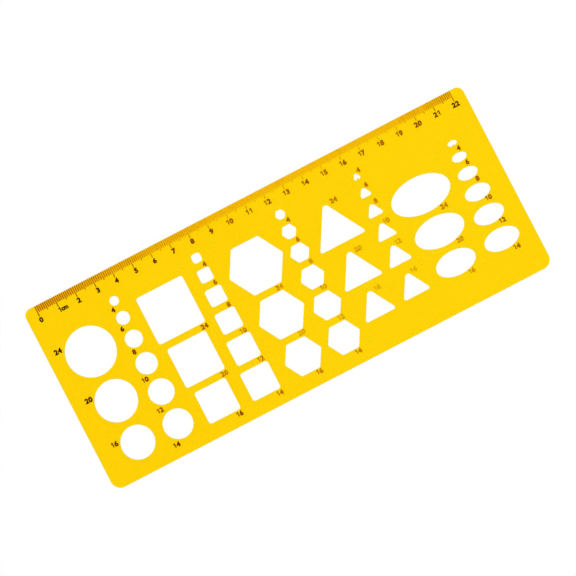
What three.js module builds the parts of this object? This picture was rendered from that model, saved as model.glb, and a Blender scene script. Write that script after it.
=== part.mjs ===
// Geometric drawing template: a thin plate of tinted plastic with openings to draw through, in five
// families of nine sizes, and a centimetre scale printed along one long edge.
//
// Millimetres, +Z up. The plate lies flat with its printed side up. +X runs along the scale from its
// 0 end, +Y points at the scale's edge, and the origin is under the middle of the plate.

import * as THREE from "three";
import { mergeVertices } from "three/addons/utils/BufferGeometryUtils.js";

// Plate
const plateThickness = 1.2;
const scaleEdgeCornerRadius = 3.5;
const farEdgeCornerRadius = 5;
const endMargin = 6.2; // from each end of the plate to the scale
const scaleBandDepth = 12.85; // from the scale's edge to the first opening

// Scale
const scaleCentimetres = 22;
const linesPerCentimetre = 10;
const linePitch = 1;
const millimetreLineLength = 3.3;
const halfCentimetreLineLength = 4;
const centimetreLineLength = 5.4;
const lineWidth = 0.3;
const inkThickness = 0.05;
const inkEdgeGap = 0.15; // from the plate's edge to the ink
const baseLineWidth = 0.08; // the hairline that runs along the feet of the millimetre lines

// Openings. Most are as large as their printed size with room for the pencil's point.
const pencilAllowance = 0.5;
const largeSizes = [16, 20, 24];
const smallSizes = [14, 12, 10, 8, 6, 4];
// The small ellipses have less room from the 8 down, and the 4 is a little tight. In the order of smallSizes
const smallEllipseAllowances = [0.5, 0.5, 0.5, 0.15, 0, -0.2];
const squareCornerRadius = 1.3;
const hexagonCornerRadius = 1;
const triangleFootRadius = 0.9;
const triangleTipRadius = 1.6;
const mostCornerShare = 0.7; // a corner's radius is at most this share of the opening's inner radius
const flashNibRadius = 0.6; // the bead of flash in the foot of the smallest triangle and ellipse

// Walls between the openings of a column, from its first opening up. The circles, squares and hexagons
// have the same wall throughout.
const web = 3.55;
const largeTriangleWebs = [3.1, 3.55];
const smallTriangleWebs = [4.1, 2.6, 2.75, 2.75, 3.45];
const largeEllipseWebs = [3.45, 3.2];
const smallEllipseWebs = [3.45, 3.4, 3.3, 3.6, 3.85];

// From the plate's far edge to the first opening of a column
const farMargin = 7.6;
const raisedMargin = 15.9; // the large triangles and ellipses
const smallTriangleMargin = 16.75;
const smallEllipseMargin = 16.6;

// The columns of openings, in order from the scale's 0 end. Each is stacked upwards from the far edge.
// The gap is from the widest opening of the column before, or from the scale's 0 line for the first.
// Below nought, the two columns interleave: their widest openings lie at other heights.
const columns = [
  { family: circle, sizes: largeSizes, gap: 1.5, margin: farMargin },
  { family: circle, sizes: smallSizes, gap: 1.3, margin: farMargin },
  { family: square, sizes: largeSizes, gap: 2, margin: farMargin },
  { family: square, sizes: smallSizes, gap: 2.7, margin: farMargin },
  { family: hexagon, sizes: largeSizes, gap: 1.9, margin: farMargin },
  { family: hexagon, sizes: smallSizes, gap: -1.35, margin: farMargin },
  { family: triangle, sizes: largeSizes, gap: -0.25, margin: raisedMargin, webs: largeTriangleWebs },
  { family: triangle, sizes: smallSizes, gap: 0.25, margin: smallTriangleMargin, webs: smallTriangleWebs },
  { family: ellipse, sizes: largeSizes, gap: 0.75, margin: raisedMargin, webs: largeEllipseWebs },
  { family: ellipse, sizes: smallSizes, gap: 0.6, margin: smallEllipseMargin, webs: smallEllipseWebs },
];

// An isometric circle's axes, as shares of the circle's diameter
const isometricMajor = Math.sqrt(3 / 2);
const isometricMinor = Math.sqrt(1 / 2);

// A round edge is drawn with steps that stay this close to the true curve.
const curveTolerance = 0.014;

const plastic = new THREE.MeshStandardMaterial({
  color: 0xfed204,
  roughness: 0.25,
  metalness: 0,
  transparent: true,
  opacity: 0.85,
});
const ink = new THREE.MeshStandardMaterial({ color: 0x2b1a0c, roughness: 0.6, metalness: 0 });

function fullTurnSteps(radius) {
  return Math.ceil(Math.PI / Math.acos(1 - curveTolerance / radius));
}

// The points of an arc, with its two ends
function arc(x, y, radiusX, radiusY, start, turn) {
  const wholeTurn = fullTurnSteps(Math.max(radiusX, radiusY));
  const steps = Math.max(2, Math.ceil((wholeTurn * turn) / (2 * Math.PI)));
  return new THREE.EllipseCurve(x, y, radiusX, radiusY, start, start + turn).getPoints(steps);
}

function ellipseOutline(majorAxis, minorAxis) {
  const points = arc(0, 0, majorAxis / 2, minorAxis / 2, 0, 2 * Math.PI);
  points.pop();
  return points;
}

// A regular polygon round a circle of innerRadius, with one rounded corner at firstCorner. The radius
// of each corner comes from cornerRadii, anticlockwise from that one.
function polygonOutline(innerRadius, firstCorner, cornerRadii) {
  const turn = (2 * Math.PI) / cornerRadii.length;
  return cornerRadii.flatMap((wanted, index) => {
    const radius = Math.min(wanted, mostCornerShare * innerRadius);
    const direction = firstCorner + index * turn;
    const distance = (innerRadius - radius) / Math.cos(turn / 2);
    const x = distance * Math.cos(direction);
    const y = distance * Math.sin(direction);
    return arc(x, y, radius, radius, direction - turn / 2, turn);
  });
}

// Only the smallest opening of a family has the bead of flash.
function hasFlashNib(size) {
  return size === Math.min(...smallSizes);
}

// The same outline with a half-round bead standing in the middle of its foot. The outline runs
// anticlockwise, so it passes the foot from left to right.
function withFlashNib(points, footY) {
  const foot = new THREE.Vector2(0, footY);
  const bead = arc(foot.x, foot.y, flashNibRadius, flashNibRadius, 0, Math.PI).reverse();
  const kept = points.filter((point) => point.distanceTo(foot) > flashNibRadius);
  const pastFoot = kept.findIndex((point, index) => {
    const before = kept.at(index - 1);
    return before.x < 0 && point.x > 0 && point.y < 0;
  });
  return [...kept.slice(0, pastFoot), ...bead, ...kept.slice(pastFoot)];
}

// The five families. Each takes a printed size and gives the opening's width, its height, how far its
// foot lies below its middle, and its outline around that middle.
function circle(size) {
  const diameter = size + pencilAllowance;
  const outline = ellipseOutline(diameter, diameter);
  return { width: diameter, height: diameter, foot: diameter / 2, outline };
}

function square(size) {
  const side = size + pencilAllowance;
  const outline = polygonOutline(side / 2, Math.PI / 4, Array(4).fill(squareCornerRadius));
  return { width: side, height: side, foot: side / 2, outline };
}

function hexagon(size) {
  const acrossFlats = size + pencilAllowance;
  const outline = polygonOutline(acrossFlats / 2, 0, Array(6).fill(hexagonCornerRadius));
  return {
    width: acrossFlats / Math.cos(Math.PI / 6),
    height: acrossFlats,
    foot: acrossFlats / 2,
    outline,
  };
}

function triangle(size) {
  const side = size + pencilAllowance;
  const height = side * Math.sin(Math.PI / 3);
  const foot = height / 3;
  const radii = [triangleTipRadius, triangleFootRadius, triangleFootRadius];
  const plain = polygonOutline(foot, Math.PI / 2, radii);
  const outline = hasFlashNib(size) ? withFlashNib(plain, -foot) : plain;
  return { width: side, height, foot, outline };
}

function ellipse(size) {
  const allowance = smallEllipseAllowances[smallSizes.indexOf(size)] ?? pencilAllowance;
  const width = isometricMajor * size + allowance;
  const height = isometricMinor * size + allowance;
  const plain = ellipseOutline(width, height);
  const outline = hasFlashNib(size) ? withFlashNib(plain, -height / 2) : plain;
  return { width, height, foot: height / 2, outline };
}

// Stands the openings of a column on each other. Each gets its middle: x from the scale's 0 line, and
// y from the far edge.
function stackColumn(column, startX) {
  const openings = column.sizes.map(column.family);
  const width = Math.max(...openings.map((opening) => opening.width));
  const x = startX + column.gap + width / 2;
  let footY = column.margin;
  let topY = footY;
  openings.forEach((opening, index) => {
    opening.x = x;
    opening.y = footY + opening.foot;
    topY = footY + opening.height;
    footY = topY + (column.webs ? column.webs[index] : web);
  });
  return { openings, endX: x + width / 2, topY };
}

function layOutColumns() {
  const openings = [];
  let endX = 0;
  let topY = 0;
  for (const column of columns) {
    const stacked = stackColumn(column, endX);
    openings.push(...stacked.openings);
    endX = stacked.endX;
    topY = Math.max(topY, stacked.topY);
  }
  return { openings, endX, topY };
}

const layout = layOutColumns();
const centimetre = linesPerCentimetre * linePitch;
const scaleLength = scaleCentimetres * centimetre;
const plateLength = Math.max(scaleLength, layout.endX) + 2 * endMargin;
const plateWidth = layout.topY + scaleBandDepth;
const zeroX = endMargin - plateLength / 2;
const farEdgeY = -plateWidth / 2;
const scaleEdgeY = plateWidth / 2;
const inkEdgeY = scaleEdgeY - inkEdgeGap;

function plateOutline() {
  const corner = (signX, y, radius, start) => {
    const x = signX * (plateLength / 2 - radius);
    return arc(x, y - Math.sign(y) * radius, radius, radius, start, Math.PI / 2);
  };
  return [
    ...corner(1, scaleEdgeY, scaleEdgeCornerRadius, 0),
    ...corner(-1, scaleEdgeY, scaleEdgeCornerRadius, Math.PI / 2),
    ...corner(-1, farEdgeY, farEdgeCornerRadius, Math.PI),
    ...corner(1, farEdgeY, farEdgeCornerRadius, 1.5 * Math.PI),
  ];
}

// A closed solid of one outline, less its holes, from the height bottomZ up
function slab(outline, holes, bottomZ, thickness) {
  const shape = new THREE.Shape(outline);
  shape.holes = holes.map((points) => new THREE.Path(points));
  const geometry = new THREE.ExtrudeGeometry(shape, { depth: thickness, bevelEnabled: false });
  geometry.deleteAttribute("normal");
  geometry.deleteAttribute("uv");
  geometry.translate(0, 0, bottomZ);
  return mergeVertices(geometry);
}

function makePlate() {
  const holes = layout.openings.map((opening) => {
    const middle = new THREE.Vector2(zeroX + opening.x, farEdgeY + opening.y);
    return opening.outline.map((point) => point.clone().add(middle));
  });
  const mesh = new THREE.Mesh(slab(plateOutline(), holes, 0, plateThickness), plastic);
  mesh.name = "template_plate";
  return mesh;
}

function inkFilm(name, points) {
  const mesh = new THREE.Mesh(slab(points, [], plateThickness, inkThickness), ink);
  mesh.name = name;
  return mesh;
}

// One line's left and right side, at a place on the scale counted in lines from 0
function lineSides(line) {
  const x = zeroX + line * linePitch;
  return [x - lineWidth / 2, x + lineWidth / 2];
}

function makeCentimetreLine(centimetres) {
  const [left, right] = lineSides(centimetres * linesPerCentimetre);
  const endY = inkEdgeY - centimetreLineLength;
  const number = String(centimetres).padStart(2, "0");
  return inkFilm(`centimetre_line_${number}`, [
    new THREE.Vector2(left, endY),
    new THREE.Vector2(right, endY),
    new THREE.Vector2(right, inkEdgeY),
    new THREE.Vector2(left, inkEdgeY),
  ]);
}

// The lines between two centimetre lines, the middle one longer, with the hairline that joins their feet
function makeMillimetreLines(centimetres) {
  const first = centimetres * linesPerCentimetre;
  const baseY = inkEdgeY - baseLineWidth;
  const points = [];
  for (let line = 1; line < linesPerCentimetre; line += 1) {
    const [left, right] = lineSides(first + line);
    const isHalf = line === linesPerCentimetre / 2;
    const endY = inkEdgeY - (isHalf ? halfCentimetreLineLength : millimetreLineLength);
    points.push(new THREE.Vector2(left, baseY), new THREE.Vector2(left, endY));
    points.push(new THREE.Vector2(right, endY), new THREE.Vector2(right, baseY));
  }
  points[0].y = inkEdgeY;
  points.at(-1).y = inkEdgeY;
  const span = [centimetres, centimetres + 1].map((end) => String(end).padStart(2, "0"));
  return inkFilm(`millimetre_lines_${span.join("_to_")}`, points);
}

function makeScale() {
  const scale = new THREE.Group();
  for (let centimetres = 0; centimetres <= scaleCentimetres; centimetres += 1) {
    scale.add(makeCentimetreLine(centimetres));
    if (centimetres + 1 <= scaleCentimetres) {
      scale.add(makeMillimetreLines(centimetres));
    }
  }
  return scale;
}

const template = new THREE.Group();
template.add(makePlate(), makeScale());

export default template;
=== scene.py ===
"""The looks of a geometric drawing template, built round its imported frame.

The template is a moulded plate of clear amber plastic. A centimetre scale is printed along one long
edge, and every opening has its size printed beside it. The plate's rims, the lines of the scale and the
places of the figures all come from the frame, so they follow it when a size changes.

Lengths are metres in the frame's own axes. A name that ends in _mm holds millimetres.
"""

import logging
import math
from collections import Counter
from collections.abc import Iterable, Mapping, Sequence
from dataclasses import dataclass, field, replace
from enum import Enum

import bmesh
import bpy
from bmesh.types import BMEdge, BMesh, BMFace, BMVert
from bpy.types import ID, Material, Mesh, Node, NodeSocket, NodeTree, Object
from mathutils import Matrix, Vector
from mathutils.geometry import delaunay_2d_cdt


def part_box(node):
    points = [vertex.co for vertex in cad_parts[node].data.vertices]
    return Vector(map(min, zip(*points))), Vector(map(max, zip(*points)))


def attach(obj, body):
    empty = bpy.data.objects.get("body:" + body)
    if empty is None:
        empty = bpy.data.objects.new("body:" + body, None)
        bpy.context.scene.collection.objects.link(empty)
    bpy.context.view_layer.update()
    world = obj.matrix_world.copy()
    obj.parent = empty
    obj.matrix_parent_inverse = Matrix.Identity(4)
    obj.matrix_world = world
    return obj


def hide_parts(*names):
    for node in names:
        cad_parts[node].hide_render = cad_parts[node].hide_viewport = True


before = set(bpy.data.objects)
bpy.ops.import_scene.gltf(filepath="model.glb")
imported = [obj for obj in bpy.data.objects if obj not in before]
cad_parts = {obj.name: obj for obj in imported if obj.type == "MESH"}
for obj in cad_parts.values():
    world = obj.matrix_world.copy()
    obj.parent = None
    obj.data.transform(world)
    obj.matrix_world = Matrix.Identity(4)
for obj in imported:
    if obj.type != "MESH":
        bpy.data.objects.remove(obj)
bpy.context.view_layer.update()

log = logging.getLogger("drawing_template")

MM = 0.001
BODY = "root"
PLATE_NODE = "template_plate"
CENTIMETRE_LINE = "centimetre_line_"
MILLIMETRE_LINES = "millimetre_lines_"

SAME_POINT_MM = 0.001
SAME_LEVEL_MM = 0.05
SAME_COLUMN_MM = 0.5
ENCLOSED_TRIANGLES = 1  # what delaunay_2d_cdt gives back: the triangles inside the outlines
MERGE_DISTANCE = 1e-5  # in the typeface's own unit
LEAST_OPENNESS = 0.6  # of a notch in an outline, from 0 for a folded one to 2 for a straight line

MIX_FIRST, MIX_SECOND, MIX_RESULT = 6, 7, 2  # the sockets of a node that mixes colours
# the rim's slot holds the painted shade of the rims
RIM_SHADE_SLOT, LINE_END_FINISH = 1, 1  # where these stand in their piece's list of materials
REFRACTIVE_INDEX = 1.59  # of polystyrene
STRAIGHT_GLOSS = "#FFC830"  # what the amber dye leaves of a reflection that is seen straight on

Rgba = tuple[float, float, float, float]
Verts = list[BMVert]
Edges = list[BMEdge]
Parts = list[BMVert | BMEdge | BMFace]


def linear(hex_code: str) -> Rgba:
    """Turns an sRGB colour to the linear values that a shader takes.

    Args:
        hex_code: the colour as "#RRGGBB".

    Returns:
        Red, green, blue and a full alpha.
    """
    channels = [int(hex_code[start:start + 2], 16) / 255 for start in (1, 3, 5)]
    red, green, blue = (
        value / 12.92 if value <= 0.04045 else ((value + 0.055) / 1.055) ** 2.4 for value in channels
    )
    return red, green, blue, 1.0


def add_node(tree: NodeTree, kind: str, settings: dict | None = None,
             inputs: dict | None = None) -> Node:
    """Adds one node to a tree, with its settings, values and links.

    Args:
        tree: the material's or world's node tree.
        kind: the node's type, such as "ShaderNodeMath".
        settings: the node's own properties by name.
        inputs: values, or sockets to link from, by the input's name or number.

    Returns:
        The new node.
    """
    node = tree.nodes.new(kind)
    for name, value in (settings or {}).items():
        setattr(node, name, value)
    for name, value in (inputs or {}).items():
        if isinstance(value, NodeSocket):
            tree.links.new(value, node.inputs[name])
        else:
            node.inputs[name].default_value = value
    return node


def new_material(name: str) -> tuple[Material, NodeTree]:
    """Makes a material with an empty node tree.

    Args:
        name: the material's name.

    Returns:
        The material and its tree.
    """
    material = bpy.data.materials.new(name)
    material.use_nodes = True
    material.node_tree.nodes.clear()
    return material, material.node_tree


def calculate(tree: NodeTree, operation: str, *values: NodeSocket | float,
              clamp: bool = False) -> NodeSocket:
    """Adds a calculation to a tree.

    Args:
        tree: the tree.
        operation: what is done, such as "ADD".
        values: the numbers, or sockets to link from, in the node's order.
        clamp: whether the result is kept between 0 and 1.

    Returns:
        The socket that gives the result.
    """
    settings = {"operation": operation, "use_clamp": clamp}
    return add_node(tree, "ShaderNodeMath", settings, dict(enumerate(values))).outputs[0]


@dataclass(frozen=True)
class Unevenness:
    """An irregular pattern in a finish.

    Attributes:
        size_mm: its size along the surface.
        amount: how strong it is, which for a relief is its height in millimetres.
        detail: how many finer layers it has.
        distortion: how far it is drawn out of shape.
    """

    size_mm: float
    amount: float
    detail: float = 2.0
    distortion: float = 0.0

    def pattern(self, tree: NodeTree, place: NodeSocket) -> NodeSocket:
        """Adds the pattern to a tree.

        Args:
            tree: the material's tree.
            place: the point, in the frame's axes.

        Returns:
            The socket that gives the pattern, from 0 to 1 and around 0.5.
        """
        noise = add_node(tree, "ShaderNodeTexNoise", inputs={
            "Vector": place, "Scale": 1 / (self.size_mm * MM),
            "Detail": self.detail, "Distortion": self.distortion,
        })
        return noise.outputs["Fac"]

    def relief(self, tree: NodeTree, place: NodeSocket, below: NodeSocket | None = None) -> NodeSocket:
        """Adds the pattern as a relief, which breaks up the surface's gloss.

        Args:
            tree: the material's tree.
            place: the point, in the frame's axes.
            below: the normal of a coarser relief that carries this one.

        Returns:
            The socket that gives the surface's normal.
        """
        inputs = {"Height": self.pattern(tree, place), "Distance": self.amount * MM}
        if below is not None:
            inputs["Normal"] = below
        return add_node(tree, "ShaderNodeBump", inputs=inputs).outputs["Normal"]


def verts_in(parts: Parts) -> Verts:
    """Picks the vertices out of what a mesh operator gives back."""
    return [part for part in parts if isinstance(part, BMVert)]


def edges_between(verts: Verts) -> Edges:
    """Finds the edges that have two of some vertices as their ends, in a steady order."""
    ends = Counter(edge for vertex in verts for edge in vertex.link_edges)
    return [edge for edge, count in ends.items() if count == 2]


def everything_in(shape: BMesh) -> Parts:
    """Lists all that a shape is made of."""
    return shape.verts[:] + shape.edges[:] + shape.faces[:]


def make_mesh(name: str, shape: BMesh, materials: Iterable[Material] = ()) -> Mesh:
    """Turns a shape into a mesh.

    Args:
        name: the mesh's name.
        shape: the shape. It is freed here.
        materials: the materials that its faces number from 0.

    Returns:
        The mesh.
    """
    mesh = bpy.data.meshes.new(name)
    shape.to_mesh(mesh)
    shape.free()
    for material in materials:
        mesh.materials.append(material)
    return mesh


def add_object(name: str, data: ID) -> Object:
    """Adds an object to the scene.

    Args:
        name: the object's name.
        data: its mesh, text, lamp or camera.

    Returns:
        The object.
    """
    added = bpy.data.objects.new(name, data)
    bpy.context.scene.collection.objects.link(added)
    return added


def nodes_named(start: str) -> list[str]:
    """Lists the frame's nodes whose names start alike, in order."""
    return sorted(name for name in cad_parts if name.startswith(start))


def make_piece(name: str, shape: BMesh, materials: Iterable[Material],
               stands_for: Iterable[str] = ()) -> Object:
    """Makes a finished piece of the template from a shape that is already in its place.

    Args:
        name: the piece's name.
        shape: the piece's mesh in metres, in the frame's axes. It is freed here.
        materials: the materials that its faces number from 0.
        stands_for: the CAD nodes that the piece is shown instead of.

    Returns:
        The piece, riding on the template's body.
    """
    piece = add_object(name, make_mesh(name, shape, materials))
    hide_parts(*stands_for)
    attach(piece, BODY)
    log.info("%s: %d faces", name, len(piece.data.polygons))
    return piece


class Family(Enum):
    """The five families of openings, in their order from the scale's 0 end."""

    CIRCLE = "circle"
    SQUARE = "square"
    HEXAGON = "hexagon"
    TRIANGLE = "triangle"
    ELLIPSE = "ellipse"


@dataclass(frozen=True)
class Opening:
    """The box of one opening's rim on the plate's upper face."""

    low: Vector
    high: Vector

    @property
    def centre(self) -> Vector:
        """The middle of the box."""
        return (self.low + self.high) / 2

    @property
    def half(self) -> Vector:
        """Half of the box's width and height."""
        return (self.high - self.low) / 2


class PackedPlate:
    """The frame's plate, read for the outlines that the moulded and printed detail follows."""

    def __init__(self, node: str) -> None:
        """Finds the plate's box and its openings.

        Args:
            node: the plate's node in the frame.
        """
        self.node = node
        self.low, self.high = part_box(node)
        self.openings = self.find_openings()

    @staticmethod
    def into_plastic(edge: BMEdge) -> Vector:
        """Gives the direction from a rim's edge into the face beside it.

        Args:
            edge: an edge with one face.

        Returns:
            A unit vector in the face, square to the edge.
        """
        start, end = (vertex.co for vertex in edge.verts)
        along = (end - start).normalized()
        across = Vector((-along.y, along.x, 0))
        inside = edge.link_faces[0].calc_center_median() - start
        return across if across.dot(inside) > 0 else -across

    def rims(self) -> BMesh:
        """Takes the rims of the plate's upper face from the frame.

        Returns:
            The rims as bare edges at the upper face. The vertex layer "inwards" holds the step that
            moves a rim by one unit into the plastic, square to its edges.
        """
        shape = bmesh.new()
        shape.from_mesh(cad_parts[self.node].data)
        bmesh.ops.remove_doubles(shape, verts=shape.verts[:], dist=SAME_POINT_MM * MM)
        level = self.high.z - SAME_LEVEL_MM * MM
        others = [face for face in shape.faces if min(vertex.co.z for vertex in face.verts) < level]
        bmesh.ops.delete(shape, geom=others, context="FACES")
        inwards = shape.verts.layers.float_vector.new("inwards")
        for vertex in shape.verts:
            first, second = (self.into_plastic(edge) for edge in vertex.link_edges if edge.is_boundary)
            vertex[inwards] = (first + second) / max(1 + first.dot(second), LEAST_OPENNESS)
        bmesh.ops.delete(shape, geom=shape.faces[:], context="FACES_KEEP_BOUNDARY")
        return shape

    def find_openings(self) -> list[Opening]:
        """Finds the box of each opening.

        Returns:
            The openings, without the plate's own outline.
        """
        shape = self.rims()
        waiting = set(shape.verts)
        boxes = []
        while waiting:
            rim = []
            following = [next(iter(waiting))]
            while following:
                vertex = following.pop()
                if vertex in waiting:
                    waiting.remove(vertex)
                    rim.append(vertex.co.copy())
                    following.extend(edge.other_vert(vertex) for edge in vertex.link_edges)
            low = Vector(map(min, zip(*rim)))
            high = Vector(map(max, zip(*rim)))
            boxes.append(Opening(low, high))
        shape.free()
        boxes.sort(key=lambda box: (box.high - box.low).length)
        return boxes[:-1]

    def columns(self) -> list[list[Opening]]:
        """Sorts the openings into the columns that they stand in.

        Returns:
            The columns from the scale's 0 end, each from the scale's edge down.
        """
        columns: list[list[Opening]] = []
        for opening in sorted(self.openings, key=lambda each: each.centre.x):
            same = columns and opening.centre.x - columns[-1][0].centre.x < SAME_COLUMN_MM * MM
            if same:
                columns[-1].append(opening)
            else:
                columns.append([opening])
        for column in columns:
            column.sort(key=lambda each: -each.centre.y)
        return columns


@dataclass(frozen=True)
class InkFade:
    """One side of the plate from which the print's ink gets thinner.

    Attributes:
        axis: "X" or "Y".
        from_high: whether the side is the axis's high one.
        amount: how much stronger the ink is at that side.
        reach_mm: how far in that falls to about a third.
    """

    axis: str
    from_high: bool
    amount: float
    reach_mm: float


@dataclass(frozen=True)
class InkWear:
    """How strong the printing ink is over the plate.

    Years of wiping have thinned it in the middle. It is strongest at the scale's 0 end.
    """

    least: float = -0.46
    fades: tuple[InkFade, ...] = (
        InkFade("X", False, 1.07, 110),
        InkFade("X", True, 0.7, 32),
        InkFade("Y", True, 0.57, 45),
        InkFade("Y", False, 0.42, 9),
    )

    def strength(self, tree: NodeTree, place: NodeSocket, plate: PackedPlate) -> NodeSocket:
        """Works out how strong the ink is at a point, where 1 is full and 0 is none.

        Args:
            tree: the material's tree.
            place: the point, in the frame's axes.
            plate: the plate, whose sides the fading is measured from.

        Returns:
            The socket that gives the strength.
        """
        along = add_node(tree, "ShaderNodeSeparateXYZ", inputs={0: place})
        total: NodeSocket | float = self.least
        for fade in self.fades:
            side = getattr(plate.high if fade.from_high else plate.low, fade.axis.lower())
            slope = (1 if fade.from_high else -1) / (fade.reach_mm * MM)
            depth = calculate(tree, "MULTIPLY_ADD", along.outputs[fade.axis], slope, -slope * side)
            share = calculate(tree, "EXPONENT", depth)
            total = calculate(tree, "MULTIPLY_ADD", share, fade.amount, total)
        return total


@dataclass(frozen=True)
class AmberPolystyrene:
    """Clear amber polystyrene, injection moulded in a polished tool.

    To the eye it is glossy and see-through, a clean warm yellow on white paper. The dye is a shade deeper
    towards the scale's 0 end. Between the fine lines of the scale a brown painted shadow stands in for the
    lines' shadow on the floor below, seen through the plate.
    """

    name: str = "amber_polystyrene"
    tint: str = "#FAD304"
    deep_tint: str = "#FACF02"
    roughness: float = 0.06
    shade: Unevenness = Unevenness(60, 0.8)  # the dye's slow changes
    ripples: Unevenness = Unevenness(9, 0.004, 3)  # where the plastic flowed into the mould
    scratches: Unevenness = Unevenness(0.35, 0.0012, 4, 2)  # hairlines from pencils and paper
    # painted shadow: the brown cast between the fine lines stands in for their shadow on the floor below
    line_shadow_tint: str = "#F8D3A4"
    line_shadow_depth_mm: float = 3.2  # a little less than the millimetre lines
    line_shadow_edge_mm: float = 0.4
    line_shadow_least: float = 0.68
    wear: InkWear = InkWear()

    def build(self, plate: PackedPlate) -> Material:
        """Makes the material.

        Args:
            plate: the plate, whose sides the changes of colour are laid from.

        Returns:
            The material.
        """
        material, tree = new_material(self.name)
        place = add_node(tree, "ShaderNodeTexCoord").outputs["Object"]
        along = add_node(tree, "ShaderNodeSeparateXYZ", inputs={0: place})
        swing = add_node(tree, "ShaderNodeMapRange", inputs={
            "Value": self.shade.pattern(tree, place),
            "To Min": -self.shade.amount, "To Max": self.shade.amount,
        })
        down_the_length = add_node(tree, "ShaderNodeMapRange", {"clamp": False}, {
            "Value": along.outputs["X"], "From Min": plate.low.x, "From Max": plate.high.x,
        })
        shade = calculate(
            tree, "ADD", swing.outputs["Result"], down_the_length.outputs["Result"], clamp=True,
        )
        tint = add_node(tree, "ShaderNodeMix", {"data_type": "RGBA"}, {
            0: shade, MIX_FIRST: linear(self.deep_tint), MIX_SECOND: linear(self.tint),
        })
        # painted shadow of the fine lines, multiplied into the plastic's tint
        shadowed = add_node(tree, "ShaderNodeMix", {"data_type": "RGBA", "blend_type": "MULTIPLY"}, {
            0: self.line_shadow(tree, place, along, plate),
            MIX_FIRST: tint.outputs[MIX_RESULT], MIX_SECOND: linear(self.line_shadow_tint),
        })
        normal = self.scratches.relief(tree, place, self.ripples.relief(tree, place))
        finish_plastic(tree, shadowed.outputs[MIX_RESULT], self.roughness, normal, linear(self.tint))
        return material

    def line_shadow(self, tree: NodeTree, place: NodeSocket, along: Node, plate: PackedPlate) -> NodeSocket:
        """Works out how much painted shadow of the fine lines lies at a point.

        Args:
            tree: the material's tree.
            place: the point, in the frame's axes.
            along: the node that gives the point's X and Y.
            plate: the plate, with the scale at its high Y side.

        Returns:
            The socket that gives the painted shadow, from 0 to 1.
        """
        lines = nodes_named(CENTIMETRE_LINE)
        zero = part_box(lines[0])[0].x
        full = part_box(lines[-1])[1].x
        depth = plate.high.y - self.line_shadow_depth_mm * MM
        total = calculate(tree, "MAXIMUM", self.wear.strength(tree, place, plate), self.line_shadow_least)
        for axis, limit, inwards in (("Y", depth, 1), ("X", zero, 1), ("X", full, -1)):
            reach = inwards * self.line_shadow_edge_mm * MM
            inside = add_node(tree, "ShaderNodeMapRange", {"interpolation_type": "SMOOTHSTEP"}, {
                "Value": along.outputs[axis], "From Min": limit - reach, "From Max": limit + reach,
            })
            total = calculate(tree, "MULTIPLY", total, inside.outputs["Result"], clamp=True)
        return total


@dataclass(frozen=True)
class ShadedRim:
    """The same amber polystyrene where a rim turns down into its wall.

    The eye looks along the sheet there, through more of the dye, so the rim shows as a fine line that is
    deeper and a little greener than the face. That line is painted shade, a deeper tint set on the faces.
    """

    name: str = "amber_polystyrene_rim"
    # painted shade: a deeper, greener tint than the face's, set on the rim's faces
    tint: str = "#E4D424"
    roughness: float = 0.12
    drag: Unevenness = Unevenness(0.25, 0.003, 3)  # from the tool's steel, down the wall

    def build(self) -> Material:
        """Makes the material.

        Returns:
            The material.
        """
        material, tree = new_material(self.name)
        place = add_node(tree, "ShaderNodeTexCoord").outputs["Object"]
        tint = linear(self.tint)
        finish_plastic(tree, tint, self.roughness, self.drag.relief(tree, place), tint)
        return material


def finish_plastic(tree: NodeTree, colour: NodeSocket | Rgba, roughness: float,
                   normal: NodeSocket, tint: Rgba) -> None:
    """Ends the tree of a clear amber plastic, whose shadow is tinted light and not a dark patch.

    Args:
        tree: the material's tree.
        colour: the dye's colour at each point.
        roughness: how blurred the reflections are.
        normal: the surface's normal.
        tint: the colour that light has after it went through.
    """
    plastic = add_node(tree, "ShaderNodeBsdfPrincipled", inputs={
        "Base Color": colour, "Roughness": roughness, "IOR": REFRACTIVE_INDEX,
        "Transmission Weight": 1.0, "Specular Tint": linear(STRAIGHT_GLOSS), "Normal": normal,
    })
    path = add_node(tree, "ShaderNodeLightPath")
    # Light goes in by one face and out by another, so each face has the square root of the tint
    face_tint = tuple(math.sqrt(value) for value in tint[:3]) + (1.0,)
    clear = add_node(tree, "ShaderNodeBsdfTransparent", inputs={"Color": face_tint})
    either = add_node(tree, "ShaderNodeMixShader", inputs={
        0: path.outputs["Is Shadow Ray"], 1: plastic.outputs["BSDF"], 2: clear.outputs["BSDF"],
    })
    add_node(tree, "ShaderNodeOutputMaterial", inputs={"Surface": either.outputs["Shader"]})


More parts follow.
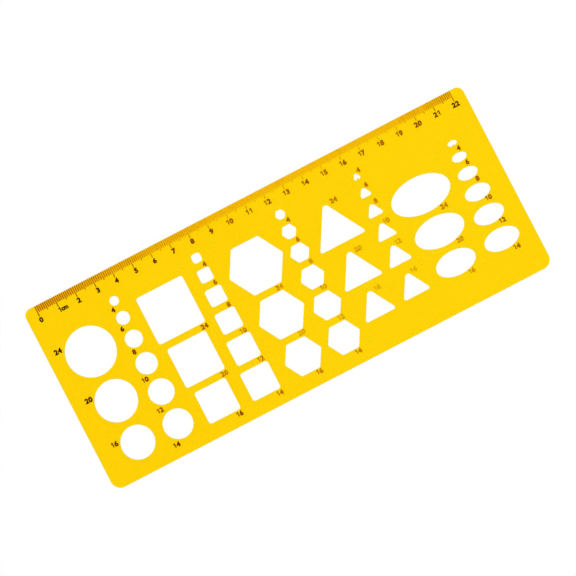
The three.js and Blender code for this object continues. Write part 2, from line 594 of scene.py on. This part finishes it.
@dataclass(frozen=True)
class PadPrintInk:
    """Brown-black printing ink, laid as a thin matt film.

    Where it is full it is near black. Where wiping has thinned it, it goes through brown to amber, with a
    mottle where the film is broken.
    """

    name: str
    stops: tuple[tuple[float, str], ...]  # the colour at each strength, from 0 to 1
    roughness: float = 0.62
    sheen_level: float = 0.1  # a matt film, with hardly a reflection
    sheen_tint: str = "#FFA030"  # the warm cast of what it reflects
    patches: Unevenness = Unevenness(9, 0.35)
    mottle: Unevenness = Unevenness(0.8, 0.6)
    grain: Unevenness = Unevenness(0.12, 0.004)
    wear: InkWear = InkWear()

    def build(self, plate: PackedPlate) -> Material:
        """Makes the material.

        Args:
            plate: the plate, whose sides the wear is measured from.

        Returns:
            The material.
        """
        material, tree = new_material(self.name)
        place = add_node(tree, "ShaderNodeTexCoord").outputs["Object"]
        strength = self.wear.strength(tree, place, plate)
        for uneven in (self.patches, self.mottle):
            swing = calculate(tree, "SUBTRACT", uneven.pattern(tree, place), 0.5)
            strength = calculate(tree, "MULTIPLY_ADD", swing, uneven.amount, strength)
        colour = add_node(tree, "ShaderNodeValToRGB", inputs={"Fac": strength})
        ramp = colour.color_ramp.elements
        while len(ramp) < len(self.stops):
            ramp.new(1.0)
        for element, (share, colour_code) in zip(ramp, self.stops, strict=True):
            element.position = share
            element.color = linear(colour_code)
        ink = add_node(tree, "ShaderNodeBsdfPrincipled", inputs={
            "Base Color": colour.outputs["Color"], "Roughness": self.roughness,
            "Specular IOR Level": self.sheen_level, "Specular Tint": linear(self.sheen_tint),
            "Normal": self.grain.relief(tree, place),
        })
        add_node(tree, "ShaderNodeOutputMaterial", inputs={"Surface": ink.outputs["BSDF"]})
        return material


FIGURE_INK = PadPrintInk("figure_ink", (
    (0.0, "#E4AC04"), (0.25, "#BC6E02"), (0.5, "#823400"), (0.75, "#480A00"), (1.0, "#260000"),
))
# The lines hold less ink than the figures, so they stay browner. It has gathered at the long lines' ends
LINE_END_INK = PadPrintInk("line_end_ink", (
    (0.0, "#F0BA06"), (0.35, "#E4AC04"), (0.5, "#CE8A02"), (0.75, "#924C00"), (1.0, "#561E00"),
))
LINE_INK = PadPrintInk("line_ink", (
    (0.0, "#F5C206"), (0.45, "#F2BA06"), (0.6, "#D89A04"), (0.75, "#BC7A02"), (1.0, "#884A00"),
))


@dataclass
class PlateMoulding:
    """The moulded plate: rounded rims, flat faces and the marks of the ejector pins underneath."""

    plate: PackedPlate
    face: AmberPolystyrene = AmberPolystyrene()
    # the painted shade of the rims and of the pin marks' walls
    rim: ShadedRim = ShadedRim()
    edge_radius_mm: float = 0.36
    edge_steps: int = 4
    pin_mark_radius_mm: float = 1.5
    pin_mark_depth_mm: float = 0.1
    pin_mark_slope_mm: float = 0.24
    pin_mark_sides: int = 28
    # Where the ejector pins met the plate: from the scale's 0 end, and from the scale's edge
    pin_places_mm: tuple[tuple[float, float], ...] = (
        (8.2, 45.8), (8.2, 69.3), (8.2, 87.6), (33.6, 20.0), (48.1, 15.0), (75.8, 15.4),
        (94.4, 13.1), (162.4, 20.0), (176.1, 14.3), (206.4, 26.8), (222.8, 22.2),
        (159.7, 69.3), (177.6, 65.5), (179.5, 77.7), (204.5, 79.2), (139.6, 86.8),
    )

    def build(self) -> Object:
        """Makes the plate.

        Returns:
            The piece, shown instead of the frame's plate.
        """
        shape = self.plate.rims()
        radius = self.edge_radius_mm * MM
        self.move_ring(shape, shape.verts[:], radius, 0.0)
        top = shape.edges[:]
        ring = top
        inset, drop = radius, 0.0
        for next_inset, next_drop in self.profile():
            ring = self.extend_wall(shape, ring, next_inset - inset, drop - next_drop)
            inset, drop = next_inset, next_drop
        for face in shape.faces:
            face.smooth = True
            # painted shade: the rims' faces take the deeper rim tint
            face.material_index = RIM_SHADE_SLOT
        marks = self.pin_marks(shape)
        bmesh.ops.triangle_fill(shape, edges=top, use_beauty=True, normal=(0, 0, 1))
        bmesh.ops.triangle_fill(shape, edges=ring + marks, use_beauty=True, normal=(0, 0, -1))
        bmesh.ops.recalc_face_normals(shape, faces=shape.faces[:])
        materials = [self.face.build(self.plate), self.rim.build()]
        return make_piece("plate_moulding", shape, materials, [self.plate.node])

    def profile(self) -> list[tuple[float, float]]:
        """Works out a rim's profile, from the upper face round to the lower one.

        Returns:
            For each ring, how far it lies inside the outline and below the upper face.
        """
        radius = self.edge_radius_mm * MM
        thickness = self.plate.high.z - self.plate.low.z
        turns = [math.pi / 2 * step / self.edge_steps for step in range(self.edge_steps + 1)]
        upper = [(radius * (1 - math.sin(turn)), radius * (1 - math.cos(turn))) for turn in turns]
        lower = [(inset, thickness - drop) for inset, drop in reversed(upper)]
        return upper[1:] + lower

    @staticmethod
    def move_ring(shape: BMesh, ring: Verts, inwards: float, rise: float) -> None:
        """Moves a ring of the rims into the plastic and up.

        Args:
            shape: the plate's mesh.
            ring: the ring's vertices.
            inwards: how far it moves into the plastic.
            rise: how far it moves up.
        """
        step = shape.verts.layers.float_vector["inwards"]
        for vertex in ring:
            vertex.co += vertex[step] * inwards + Vector((0, 0, rise))

    def extend_wall(self, shape: BMesh, ring: Edges, inwards: float, rise: float) -> Edges:
        """Extrudes the rims by one ring.

        Args:
            shape: the plate's mesh.
            ring: the edges of the ring so far.
            inwards: how far the new ring lies inside the old one.
            rise: how far the new ring lies above the old one.

        Returns:
            The edges of the new ring.
        """
        verts = verts_in(bmesh.ops.extrude_edge_only(shape, edges=ring)["geom"])
        self.move_ring(shape, verts, inwards, rise)
        return edges_between(verts)

    def pin_marks(self, shape: BMesh) -> Edges:
        """Sinks the round marks of the ejector pins into the lower face.

        Args:
            shape: the plate's mesh.

        Returns:
            The marks' outer edges, which the lower face is filled up to.
        """
        low, high = self.plate.low, self.plate.high
        edges = []
        for from_zero_end, from_scale_edge in self.pin_places_mm:
            place = Vector((low.x + from_zero_end * MM, high.y - from_scale_edge * MM, low.z))
            circle = bmesh.ops.create_circle(
                shape, cap_ends=False, segments=self.pin_mark_sides,
                radius=self.pin_mark_radius_mm * MM, matrix=Matrix.Translation(place),
            )["verts"]
            rim = edges_between(circle)
            inner = verts_in(bmesh.ops.extrude_edge_only(shape, edges=rim)["geom"])
            shrink = 1 - self.pin_mark_slope_mm / self.pin_mark_radius_mm
            bmesh.ops.scale(shape, verts=inner, vec=(shrink, shrink, 1), space=Matrix.Translation(-place))
            bmesh.ops.translate(shape, verts=inner, vec=(0, 0, self.pin_mark_depth_mm * MM))
            # painted shade: the marks' sloped walls take the rim's deeper tint, so they show from above as
            # faint darker rings
            for face in {face for vertex in inner for face in vertex.link_faces}:
                face.material_index = RIM_SHADE_SLOT
            bmesh.ops.edgeloop_fill(shape, edges=edges_between(inner))
            edges.extend(rim)
        return edges


@dataclass(frozen=True)
class InkFilm:
    """How the print lies on the plate: a film on the upper face, a hair clear of it."""

    plate: PackedPlate
    clearance_mm: float = 0.004
    thickness_mm: float = 0.016

    @property
    def foot(self) -> float:
        """The height of the film's underside."""
        return self.plate.high.z + self.clearance_mm * MM

    def thicken(self, shape: BMesh) -> None:
        """Turns flat faces at height 0 into closed films on the plate.

        Args:
            shape: the flat faces.
        """
        upper = verts_in(bmesh.ops.extrude_face_region(shape, geom=shape.faces[:])["geom"])
        bmesh.ops.translate(shape, verts=upper, vec=(0, 0, self.thickness_mm * MM))
        shape.transform(Matrix.Translation((0, 0, self.foot)))
        bmesh.ops.recalc_face_normals(shape, faces=shape.faces[:])


@dataclass
class Lettering:
    """Plain upright figures, as a printing block has them.

    Lengths are shares of a digit's height, except where they are in the typeface's own unit.

    Attributes:
        film: how the print lies on the plate.
        advance: the step from one digit to the next.
        weight: how far the strokes are fattened on each side, in the typeface's unit.
        breadth: how much wider than the typeface's own the digits are.
        flag_length: the flag of the 1, to the left of its stem.
        flag_drop: how far the flag's end hangs below the top.
        flag_depth: how deep the flag is at the stem.
        stem: the width of the 1's stem.
        stem_right: how far the stem stands to the right of the middle.
        curve_steps: how many straight steps draw each of the typeface's curves.
        digit_height: the height of a digit, in the typeface's unit.
    """

    film: InkFilm
    advance: float = 0.78
    weight: float = 0.065
    breadth: float = 1.06
    flag_length: float = 0.24
    flag_drop: float = 0.24
    flag_depth: float = 0.22
    stem: float = 0.23
    stem_right: float = 0.1
    curve_steps: int = 6
    digit_height: float = field(init=False, default=0.0)

    def __post_init__(self) -> None:
        """Measures the digits by one that has a flat top."""
        seven = self.outline("7")
        self.digit_height = max(vertex.co.y for vertex in seven.verts)
        seven.free()

    def outline(self, text: str) -> BMesh:
        """Draws text flat, at the typeface's size 1, with its foot at height 0.

        Args:
            text: what to draw.

        Returns:
            The flat shape, with its strokes fattened.
        """
        curve = bpy.data.curves.new(text, "FONT")
        curve.body = text
        curve.resolution_u = self.curve_steps
        writing = add_object(text, curve)
        mesh = bpy.data.meshes.new_from_object(
            writing.evaluated_get(bpy.context.evaluated_depsgraph_get())
        )
        shape = bmesh.new()
        shape.from_mesh(mesh)
        bpy.data.objects.remove(writing)
        bpy.data.curves.remove(curve)
        bpy.data.meshes.remove(mesh)
        bmesh.ops.remove_doubles(shape, verts=shape.verts[:], dist=MERGE_DISTANCE)
        self.fatten(shape)
        return shape

    def fatten(self, shape: BMesh) -> None:
        """Moves the outlines of a flat shape outwards, which thickens its strokes by the weight.

        Args:
            shape: the shape.
        """
        shape.normal_update()
        facing = max(shape.faces, key=lambda face: face.calc_area()).normal
        steps = {vertex: Vector() for vertex in shape.verts}
        for edge in shape.edges:
            if edge.is_boundary:
                loop = edge.link_loops[0]
                along = loop.link_loop_next.vert.co - loop.vert.co
                for vertex in edge.verts:
                    steps[vertex] += along.normalized().cross(facing)
        for vertex, step in steps.items():
            vertex.co += self.weight * step / max(step.length_squared / 2, LEAST_OPENNESS)
        self.merge(shape)

    def merge(self, shape: BMesh) -> None:
        """Makes one sheet of a flat shape's faces where fattened strokes have grown over each other.

        Args:
            shape: the shape.
        """
        shape.normal_update()
        shape.verts.index_update()
        bmesh.ops.reverse_faces(shape, faces=[face for face in shape.faces if face.normal.z < 0])
        corners = [[vertex.index for vertex in face.verts] for face in shape.faces]
        places = [vertex.co.to_2d() for vertex in shape.verts]
        places, _, faces, _, _, covered_by = delaunay_2d_cdt(
            places, [], corners, ENCLOSED_TRIANGLES, MERGE_DISTANCE,
        )
        shape.clear()
        verts = [shape.verts.new(place.to_3d()) for place in places]
        for triangle, sources in zip(faces, covered_by, strict=True):
            if sources:
                shape.faces.new([verts[index] for index in triangle])
        loose = [vertex for vertex in shape.verts if not vertex.link_faces]
        bmesh.ops.delete(shape, geom=loose, context="VERTS")

    def one(self) -> BMesh:
        """Draws a 1 with a slanted flag and no foot.

        Returns:
            The flat shape, with its height as 1.
        """
        shape = bmesh.new()
        stem = Matrix.Translation((self.stem_right, 0.5, 0)) @ Matrix.Diagonal((self.stem, 1, 1, 1))
        bmesh.ops.create_grid(shape, x_segments=1, y_segments=1, size=0.5, matrix=stem)
        flag_foot = (0, 1 - self.flag_depth, 0)
        bmesh.ops.bisect_plane(shape, geom=everything_in(shape), plane_co=flag_foot, plane_no=(0, 1, 0))
        upper = [edge for edge in shape.edges if min(end.co.y for end in edge.verts) > 0.5]
        left = min(upper, key=lambda edge: sum(end.co.x for end in edge.verts))
        end = verts_in(bmesh.ops.extrude_edge_only(shape, edges=[left])["geom"])
        bmesh.ops.translate(shape, verts=end, vec=(-self.flag_length, -self.flag_drop, 0))
        return shape

    def sign(self, sign: str) -> BMesh:
        """Draws one sign or unit, with a digit's height as 1 and its middle at 0.

        Args:
            sign: the sign or unit.

        Returns:
            The flat shape.
        """
        if sign == "1":
            return self.one()
        shape = self.outline(sign)
        growth = 1 / self.digit_height
        bmesh.ops.scale(shape, verts=shape.verts[:], vec=(growth * self.breadth, growth, 1))
        left = min(vertex.co.x for vertex in shape.verts)
        right = max(vertex.co.x for vertex in shape.verts)
        shape.transform(Matrix.Translation((-(left + right) / 2, 0, 0)))
        return shape

    def write(self, signs: Sequence[str], centre: Vector, height: float) -> BMesh:
        """Prints signs side by side on the plate.

        Args:
            signs: the signs, from left to right.
            centre: the middle of the writing.
            height: a digit's height.

        Returns:
            The closed films of ink, in their place.
        """
        shape = bmesh.new()
        for index, sign in enumerate(signs):
            drawn = self.sign(sign)
            across = (index - (len(signs) - 1) / 2) * self.advance
            drawn.transform(Matrix.Translation((across, -0.5, 0)))
            mesh = make_mesh(sign, drawn)
            shape.from_mesh(mesh)
            bpy.data.meshes.remove(mesh)
        bmesh.ops.scale(shape, verts=shape.verts[:], vec=(height, height, 1))
        shape.transform(Matrix.Translation((centre.x, centre.y, 0)))
        self.film.thicken(shape)
        return shape


@dataclass
class PrintedScale:
    """The centimetre scale: its lines, its figures and the unit beside the 1."""

    plate: PackedPlate
    film: InkFilm
    letters: Lettering
    line_ink: Material
    line_end_ink: Material
    figure_ink: Material
    line_gain_mm: float = 0.12  # how much wider than the block's line the ink has run
    line_end_radius_mm: float = 0.08
    line_end_steps: int = 2
    millimetre_line_mm: float = 3.3
    lines_per_centimetre: int = 10
    figure_height_mm: float = 2.35
    figure_depth_mm: float = 7.05  # from the scale's edge to the middle of the figures
    # How far some figures stand to the right of their line
    figure_right_mm: Mapping[int, float] = field(
        default_factory=lambda: {3: 0.2, 5: 0.3, 6: 0.2, 7: 0.4, 8: 0.2, 9: 0.35, 11: 0.4, 21: 0.25}
    )
    unit_text: str = "cm"
    unit_scale: float = 0.92
    unit_breadth: float = 0.96
    unit_step_mm: float = 2.45  # from the middle of the 1 to the middle of the unit
    unit_rise_mm: float = 0.17

    def build(self) -> list[Object]:
        """Makes every piece of the scale.

        Returns:
            The pieces.
        """
        centimetres = nodes_named(CENTIMETRE_LINE)
        pieces = [self.centimetre_stroke(node) for node in centimetres]
        pieces += [self.millimetre_strokes(node) for node in nodes_named(MILLIMETRE_LINES)]
        pieces += [self.figure(number, node) for number, node in enumerate(centimetres)]
        pieces.append(self.unit(centimetres[1]))
        return pieces

    def printed_lines(self, name: str, node: str, width: float,
                      lines: Iterable[tuple[float, float]]) -> Object:
        """Prints lines with rounded corners. What passes the millimetre lines has an ink of its own.

        Args:
            name: the piece's name.
            node: the lines' node in the frame.
            width: how wide the block's lines are.
            lines: the middle and the length of each line.

        Returns:
            The piece, shown instead of the node.
        """
        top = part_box(node)[1].y
        thickness = self.film.thickness_mm * MM
        shape = bmesh.new()
        for x, length in lines:
            middle = Matrix.Translation((x, top - length / 2, self.film.foot + thickness / 2))
            size = Matrix.Diagonal((width + self.line_gain_mm * MM, length, thickness, 1))
            verts = bmesh.ops.create_cube(shape, size=1, matrix=middle @ size)["verts"]
            upright = [edge for edge in edges_between(verts) if edge.calc_length() < 2 * thickness]
            bmesh.ops.bevel(
                shape, geom=upright, offset=self.line_end_radius_mm * MM, affect="EDGES",
                segments=self.line_end_steps, profile=0.5, material=-1,
            )
        foot = top - self.millimetre_line_mm * MM - self.line_end_radius_mm * MM
        bmesh.ops.bisect_plane(shape, geom=everything_in(shape), plane_co=(0, foot, 0), plane_no=(0, 1, 0))
        for face in shape.faces:
            if face.calc_center_median().y < foot:
                face.material_index = LINE_END_FINISH
        return make_piece(name, shape, [self.line_ink, self.line_end_ink], [node])

    def centimetre_stroke(self, node: str) -> Object:
        """Makes the line at a whole centimetre.

        Args:
            node: the line's node in the frame.

        Returns:
            The piece.
        """
        low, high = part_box(node)
        name = f"centimetre_stroke_{node.removeprefix(CENTIMETRE_LINE)}"
        return self.printed_lines(name, node, high.x - low.x, [((low.x + high.x) / 2, high.y - low.y)])

    def millimetre_strokes(self, node: str) -> Object:
        """Makes the nine lines between two centimetres.

        Args:
            node: the lines' node in the frame. Its longest line is the middle one.

        Returns:
            The piece.
        """
        low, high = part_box(node)
        first, last = node.removeprefix(MILLIMETRE_LINES).split("_to_")
        zero, zero_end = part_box(f"{CENTIMETRE_LINE}{first}")
        width = zero_end.x - zero.x
        numbers = range(1, self.lines_per_centimetre)
        pitch = (high.x - low.x - width) / (len(numbers) - 1)
        lines = []
        for number in numbers:
            is_half = 2 * number == self.lines_per_centimetre
            length = high.y - low.y if is_half else self.millimetre_line_mm * MM
            lines.append((zero.x + width / 2 + number * pitch, length))
        return self.printed_lines(f"millimetre_strokes_{first}_to_{last}", node, width, lines)

    def place_at(self, node: str) -> Vector:
        """Gives the place of a figure under its line.

        Args:
            node: the line's node in the frame.

        Returns:
            The figure's middle.
        """
        low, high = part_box(node)
        return Vector(((low.x + high.x) / 2, self.plate.high.y - self.figure_depth_mm * MM, 0))

    def figure(self, number: int, node: str) -> Object:
        """Makes one figure of the scale.

        Args:
            number: what it says.
            node: the line that it belongs to.

        Returns:
            The piece.
        """
        right = Vector((self.figure_right_mm.get(number, 0) * MM, 0, 0))
        shape = self.letters.write(str(number), self.place_at(node) + right, self.figure_height_mm * MM)
        return make_piece(f"scale_figure_{number:02d}", shape, [self.figure_ink])

    def unit(self, node: str) -> Object:
        """Makes the unit beside the 1.

        Args:
            node: the line of the 1.

        Returns:
            The piece.
        """
        place = self.place_at(node) + Vector((self.unit_step_mm, self.unit_rise_mm, 0)) * MM
        height = self.figure_height_mm * self.unit_scale * MM
        letters = replace(self.letters, breadth=self.unit_breadth)
        shape = letters.write([self.unit_text], place, height)
        return make_piece("scale_unit", shape, [self.figure_ink])


@dataclass(frozen=True)
class FigurePlace:
    """Where the figures of a column stand beside their openings.

    A figure's middle is `across` half-widths and `up` half-heights from the middle of its opening's box,
    and from there shifted by `shift_x_mm` and `shift_y_mm`. A few stand off by `own_shift_mm` besides, as
    they do on the printing block.
    """

    family: Family
    sizes: tuple[int, ...]
    across: float
    shift_x_mm: float
    up: float
    shift_y_mm: float
    own_shift_mm: Mapping[int, tuple[float, float]]
    height_mm: float = 2.3


LARGE_SIZES = (24, 20, 16)
SMALL_SIZES = (4, 6, 8, 10, 12, 14)


@dataclass
class SizeFigures:
    """The figures beside the openings, which give their sizes."""

    plate: PackedPlate
    letters: Lettering
    ink: Material
    places: tuple[FigurePlace, ...] = (
        FigurePlace(Family.CIRCLE, LARGE_SIZES, -0.9, -2.9, 0.75, -2.0, {
            24: (0.15, 0.05), 20: (0.6, 0.55),
        }, height_mm=2.4),
        FigurePlace(Family.CIRCLE, SMALL_SIZES, -0.55, -1.25, -0.98, -1.4, {
            6: (0.25, 0.15), 8: (0.85, 0), 10: (-0.2, 0),
        }),
        FigurePlace(Family.SQUARE, LARGE_SIZES, 1.0, -1.8, -1.0, -1.9, {
            24: (0.3, 0.15), 20: (0.45, 0.15),
        }),
        FigurePlace(Family.SQUARE, SMALL_SIZES, 0.72, 0.35, -1.0, -1.9, {
            6: (-0.15, 0.2), 10: (-0.45, -0.1), 12: (0, 0.3),
        }),
        FigurePlace(Family.HEXAGON, LARGE_SIZES, 0.34, 0.35, -1.0, -1.65, {
            20: (0.25, 0.25), 16: (0, 0.15),
        }),
        FigurePlace(Family.HEXAGON, SMALL_SIZES, 0.14, 1.8, -1.0, -1.5, {
            6: (-0.3, -0.2), 8: (0.3, -0.2), 10: (-0.4, 0.4), 12: (0.25, 0),
        }),
        FigurePlace(Family.TRIANGLE, LARGE_SIZES, 0.12, 3.6, 1.0, 0.1, {
            24: (0, 0.4), 20: (0, -0.45), 16: (-0.3, 0),
        }),
        FigurePlace(Family.TRIANGLE, SMALL_SIZES, 0.32, 1.7, 1.0, 0.8, {
            4: (-0.1, 0.25), 6: (-0.25, 0.3), 8: (-0.1, 0), 10: (-0.4, -0.5), 12: (-0.3, 0),
            14: (-0.35, -0.3),
        }),
        FigurePlace(Family.ELLIPSE, LARGE_SIZES, 0.37, 1.6, -1.0, -0.65, {
            24: (0.15, -0.1), 20: (0.5, 0.2), 16: (-0.5, -0.1),
        }),
        FigurePlace(Family.ELLIPSE, SMALL_SIZES, 0.5, 0.35, -1.0, -0.8, {
            4: (0.05, -1.1), 6: (0.05, -0.7), 8: (0.1, -0.4), 10: (-0.25, 0.1), 14: (-0.2, -0.3),
        }),
    )

    def build(self) -> list[Object]:
        """Makes a figure for each opening.

        Returns:
            The pieces.
        """
        pieces = []
        for place, column in zip(self.places, self.plate.columns(), strict=True):
            for size, opening in zip(place.sizes, column, strict=True):
                pieces.append(self.figure(place, size, opening))
        return pieces

    def figure(self, place: FigurePlace, size: int, opening: Opening) -> Object:
        """Makes the figure of one opening.

        Args:
            place: how the figures of its column stand.
            size: what the figure says.
            opening: the opening that it belongs to.

        Returns:
            The piece.
        """
        reach = Vector((place.across * opening.half.x, place.up * opening.half.y, 0))
        own_x, own_y = place.own_shift_mm.get(size, (0, 0))
        shift = Vector((place.shift_x_mm + own_x, place.shift_y_mm + own_y, 0)) * MM
        shape = self.letters.write(str(size), opening.centre + reach + shift, place.height_mm * MM)
        return make_piece(f"{place.family.value}_figure_{size:02d}", shape, [self.ink])


@dataclass
class SoftLamp:
    """A square studio lamp that points at the template."""

    name: str
    place: Vector
    side: float
    watts: float

    def build(self, target: Vector) -> None:
        """Makes the lamp.

        Args:
            target: the point that it shines at.
        """
        light = bpy.data.lights.new(self.name, "AREA")
        light.shape = "SQUARE"
        light.size = self.side
        light.energy = self.watts
        turn = (target - self.place).to_track_quat("-Z", "Y")
        lamp = add_object(self.name, light)
        lamp.matrix_world = Matrix.Translation(self.place) @ turn.to_matrix().to_4x4()


@dataclass
class Studio:
    """The plain white studio: floor, lamps, world and camera."""

    plate: PackedPlate
    lens_mm: float = 200
    sensor_mm: float = 36
    frame_width_mm: float = 271.4  # how much of the floor the picture's width takes in
    turn_degrees: float = 27.46  # the scale rises by this to the right
    centre_right_mm: float = 0.02  # the plate's middle, from the picture's
    centre_down_mm: float = 0.1
    floor_side: float = 6.0
    floor_gap_mm: float = 0.2
    floor_colour: str = "#FFFFFF"
    floor_glow: float = 0.9
    world_level: float = 0.5
    lamps: tuple[SoftLamp, ...] = (
        SoftLamp("key_lamp", Vector((-0.9, 0.8, 1.1)), 0.8, 10),
        SoftLamp("fill_lamp", Vector((1.1, 0.5, 0.9)), 0.9, 5.5),
        SoftLamp("low_lamp", Vector((0.3, -1.2, 0.9)), 0.9, 5.5),
    )

    def build(self) -> None:
        """Makes the studio round the plate."""
        self.camera()
        self.floor()
        self.world()
        for lamp in self.lamps:
            lamp.build(self.middle)
        bpy.context.scene.view_settings.view_transform = "Standard"

    @property
    def middle(self) -> Vector:
        """The middle of the plate's upper face."""
        middle = (self.plate.low + self.plate.high) / 2
        return Vector((middle.x, middle.y, self.plate.high.z))

    def camera(self) -> None:
        """Makes the camera, which looks straight down."""
        data = bpy.data.cameras.new("camera")
        data.lens = self.lens_mm
        data.sensor_width = self.sensor_mm
        turn = Matrix.Rotation(-math.radians(self.turn_degrees), 4, "Z")
        distance = self.lens_mm / self.sensor_mm * self.frame_width_mm * MM
        offset = Vector((-self.centre_right_mm * MM, self.centre_down_mm * MM, distance))
        camera = add_object("camera", data)
        camera.matrix_world = Matrix.Translation(self.middle) @ turn @ Matrix.Translation(offset)
        bpy.context.scene.camera = camera

    @staticmethod
    def background_share(tree: NodeTree) -> NodeSocket:
        """Finds the rays that see the white background: the camera's, and those in gloss and glass.

        Args:
            tree: the floor's or world's tree.

        Returns:
            A socket that is 1 for those rays.
        """
        path = add_node(tree, "ShaderNodeLightPath")
        seen = path.outputs["Is Camera Ray"]
        for kind in ("Is Glossy Ray", "Is Transmission Ray"):
            seen = calculate(tree, "MAXIMUM", seen, path.outputs[kind])
        return seen

    def floor(self) -> None:
        """Makes the pale floor, white to the eye but with the template's soft shadow on it."""
        material, tree = new_material("studio_floor")
        glow_share = calculate(tree, "MULTIPLY", self.background_share(tree), self.floor_glow)
        paint = add_node(tree, "ShaderNodeBsdfDiffuse", inputs={"Color": linear(self.floor_colour)})
        glow = add_node(tree, "ShaderNodeEmission", inputs={"Strength": 1.0})
        mixed = add_node(tree, "ShaderNodeMixShader", inputs={
            0: glow_share, 1: paint.outputs["BSDF"], 2: glow.outputs["Emission"],
        })
        add_node(tree, "ShaderNodeOutputMaterial", inputs={"Surface": mixed.outputs["Shader"]})
        shape = bmesh.new()
        level = Matrix.Translation((0, 0, self.plate.low.z - self.floor_gap_mm * MM))
        bmesh.ops.create_grid(shape, x_segments=1, y_segments=1, size=self.floor_side / 2, matrix=level)
        floor = add_object("studio_floor", make_mesh("studio_floor", shape, [material]))

    def world(self) -> None:
        """Makes the world: white to the eye, and an even soft light on the template."""
        world = bpy.data.worlds.new("studio_world")
        world.use_nodes = True
        tree = world.node_tree
        tree.nodes.clear()
        level = add_node(tree, "ShaderNodeMapRange", inputs={
            "Value": self.background_share(tree), "To Min": self.world_level, "To Max": 1.0,
        })
        background = add_node(tree, "ShaderNodeBackground", inputs={
            "Color": (1, 1, 1, 1), "Strength": level.outputs["Result"],
        })
        add_node(tree, "ShaderNodeOutputWorld", inputs={"Surface": background.outputs["Background"]})
        bpy.context.scene.world = world


def main() -> None:
    """Builds the studio and the template, and reports each piece."""
    logging.basicConfig(level=logging.INFO, format="%(message)s")
    plate = PackedPlate(PLATE_NODE)
    Studio(plate).build()
    PlateMoulding(plate).build()
    film = InkFilm(plate)
    letters = Lettering(film)
    line_ink, line_end_ink, figure_ink = (ink.build(plate) for ink in (LINE_INK, LINE_END_INK, FIGURE_INK))
    scale = PrintedScale(plate, film, letters, line_ink, line_end_ink, figure_ink).build()
    sizes = SizeFigures(plate, letters, figure_ink).build()
    log.info("the scale has %d pieces, and there are %d size figures", len(scale), len(sizes))


if __name__ == "__main__":
    main()
